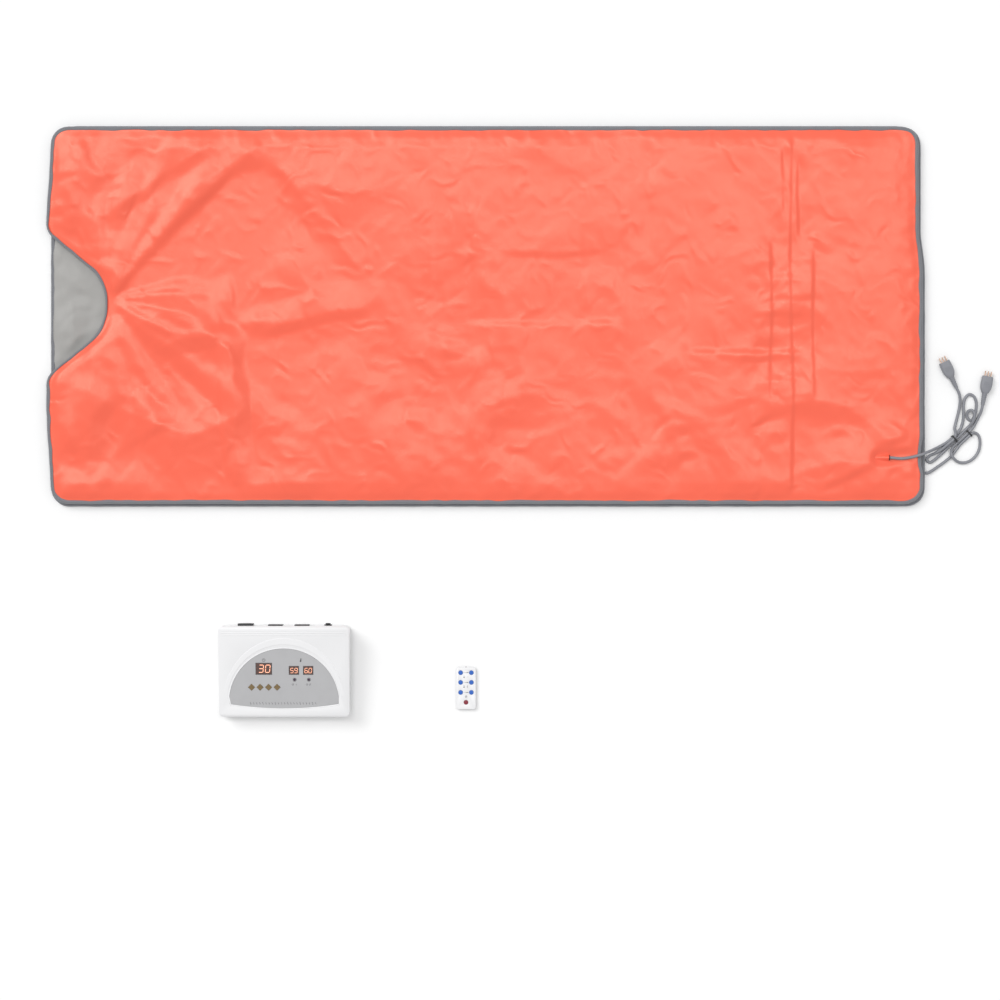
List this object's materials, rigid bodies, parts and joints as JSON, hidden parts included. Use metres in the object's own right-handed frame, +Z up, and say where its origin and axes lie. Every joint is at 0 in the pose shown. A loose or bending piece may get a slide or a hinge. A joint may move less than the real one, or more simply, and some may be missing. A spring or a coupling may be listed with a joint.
{
  "type": "infrared sauna blanket",
  "caption": "Flat two-layer heated body blanket with a neck notch and corded plugs, with its table controller and card remote.",
  "frame": {"origin": "middle of the blanket's underside, on the floor that it lies on", "axes": "+X to the foot end where the cords leave, +Y to the joined back edge, +Z up; -X is the head end with the neck notch"},
  "size_m": [1.9383, 1.2065, 0.0712],
  "materials": {
    "coral_satin": "satin-sheen taffeta, creased from packing",
    "binding_tape": "matt woven tape",
    "lining_cloth": "matt woven cloth, softly wrinkled",
    "felt": "needled felt",
    "carbon_film": "matt film",
    "closure_tape": "hook and loop pile",
    "cord_grey": "satin PVC",
    "tie_black": "satin",
    "blade_brass": "bright",
    "case_white": "fine satin moulding",
    "fascia_grey": "printed film, fine brushed silver-grey",
    "display_lens": "smoked lens with lit digits",
    "lamp_lens": "smoked lens",
    "key_bronze": "bronze metallic paint",
    "black_plastic": "fine moulded grain",
    "foot_rubber": "matt",
    "circuit_board": "solder mask",
    "plated_steel": "nickel plated",
    "key_blue": "domed, glossy",
    "key_red": "domed, glossy"
  },
  "bodies": {
    "base": {"base_shell": "coral_satin", "base_insulation": "felt", "base_heating_mat": "carbon_film", "base_lining": "lining_cloth", "base_binding": "binding_tape", "base_thermostat": "black_plastic", "hook_tape": "closure_tape", "hinge_strip": "binding_tape", "base_cord": "cord_grey", "base_plug": "cord_grey", "base_plug_contacts": "blade_brass", "cord_tie_2": "tie_black"},
    "cover": {"cover_shell": "coral_satin", "cover_insulation": "felt", "cover_heating_mat": "carbon_film", "cover_lining": "lining_cloth", "cover_binding": "binding_tape", "cover_thermostat": "black_plastic", "loop_tape": "closure_tape", "cover_cord_grommet": "black_plastic", "cover_cord": "cord_grey", "cover_plug": "cord_grey", "cover_plug_contacts": "blade_brass", "cord_tie_1": "tie_black"},
    "controller": {"case_top": "case_white", "case_base": "case_white", "fascia": "fascia_grey", "time_display": "display_lens", "temp_display_1": "display_lens", "temp_display_2": "display_lens", "output_lamp_1": "lamp_lens", "output_lamp_2": "lamp_lens", "control_board": "circuit_board", "transformer": "plated_steel", "mains_inlet": "black_plastic", "output_socket_1": "black_plastic", "output_socket_2": "black_plastic", "fuse_holder": "black_plastic", "foot_front_left": "foot_rubber", "foot_front_right": "foot_rubber", "foot_rear_left": "foot_rubber", "foot_rear_right": "foot_rubber"},
    "fuse_cap": {"fuse_cap": "black_plastic"},
    "remote": {"remote_top": "case_white", "remote_base": "case_white", "remote_board": "circuit_board", "ir_lamp": "lamp_lens"},
    "battery_tray": {"battery_tray": "case_white", "battery": "plated_steel"},
    "start_stop_key": {"start_stop_key": "key_bronze"},
    "up_key": {"up_key": "key_bronze"},
    "down_key": {"down_key": "key_bronze"},
    "mode_key": {"mode_key": "key_bronze"},
    "remote_key_left_1": {"remote_key_left_1": "key_blue"},
    "remote_key_left_2": {"remote_key_left_2": "key_blue"},
    "remote_key_left_3": {"remote_key_left_3": "key_blue"},
    "remote_key_right_1": {"remote_key_right_1": "key_blue"},
    "remote_key_right_2": {"remote_key_right_2": "key_blue"},
    "remote_key_right_3": {"remote_key_right_3": "key_blue"},
    "power_key": {"power_key": "key_red"}
  },
  "joints": [
    {"name": "cover_open", "type": "hinge", "parent": "base", "child": "cover", "pos_m": [0, 0.39, 0.01045], "axis": [-1, 0, 0], "range_deg": [0, 178]},
    {"name": "controller_lift", "type": "slide", "parent": "base", "child": "controller", "axis": [0, 0, 1], "range_m": [0, 0.15]},
    {"name": "remote_lift", "type": "slide", "parent": "base", "child": "remote", "axis": [0, 0, 1], "range_m": [0, 0.1]},
    {"name": "battery_tray_slide", "type": "slide", "parent": "remote", "child": "battery_tray", "axis": [0, -1, 0], "range_m": [0, 0.025]},
    {"name": "fuse_cap_turn", "type": "hinge", "parent": "controller", "child": "fuse_cap", "pos_m": [-0.3217, -0.629, 0.038], "axis": [0, 1, 0], "range_deg": [0, 90]},
    {"name": "controller_start_stop_key_press", "type": "slide", "parent": "controller", "child": "start_stop_key", "axis": [0, 0.128, -0.9918], "range_m": [0, 0.0007], "stiffness_N_per_m": 800, "springref_m": -0.0005},
    {"name": "controller_up_key_press", "type": "slide", "parent": "controller", "child": "up_key", "axis": [0, 0.128, -0.9918], "range_m": [0, 0.0007], "stiffness_N_per_m": 800, "springref_m": -0.0005},
    {"name": "controller_down_key_press", "type": "slide", "parent": "controller", "child": "down_key", "axis": [0, 0.128, -0.9918], "range_m": [0, 0.0007], "stiffness_N_per_m": 800, "springref_m": -0.0005},
    {"name": "controller_mode_key_press", "type": "slide", "parent": "controller", "child": "mode_key", "axis": [0, 0.128, -0.9918], "range_m": [0, 0.0007], "stiffness_N_per_m": 800, "springref_m": -0.0005},
    {"name": "remote_key_left_1_press", "type": "slide", "parent": "remote", "child": "remote_key_left_1", "axis": [0, 0, -1], "range_m": [0, 0.0004], "stiffness_N_per_m": 800, "springref_m": -0.0004},
    {"name": "remote_key_left_2_press", "type": "slide", "parent": "remote", "child": "remote_key_left_2", "axis": [0, 0, -1], "range_m": [0, 0.0004], "stiffness_N_per_m": 800, "springref_m": -0.0004},
    {"name": "remote_key_left_3_press", "type": "slide", "parent": "remote", "child": "remote_key_left_3", "axis": [0, 0, -1], "range_m": [0, 0.0004], "stiffness_N_per_m": 800, "springref_m": -0.0004},
    {"name": "remote_key_right_1_press", "type": "slide", "parent": "remote", "child": "remote_key_right_1", "axis": [0, 0, -1], "range_m": [0, 0.0004], "stiffness_N_per_m": 800, "springref_m": -0.0004},
    {"name": "remote_key_right_2_press", "type": "slide", "parent": "remote", "child": "remote_key_right_2", "axis": [0, 0, -1], "range_m": [0, 0.0004], "stiffness_N_per_m": 800, "springref_m": -0.0004},
    {"name": "remote_key_right_3_press", "type": "slide", "parent": "remote", "child": "remote_key_right_3", "axis": [0, 0, -1], "range_m": [0, 0.0004], "stiffness_N_per_m": 800, "springref_m": -0.0004},
    {"name": "remote_power_key_press", "type": "slide", "parent": "remote", "child": "power_key", "axis": [0, 0, -1], "range_m": [0, 0.0004], "stiffness_N_per_m": 800, "springref_m": -0.0004}
  ]
}
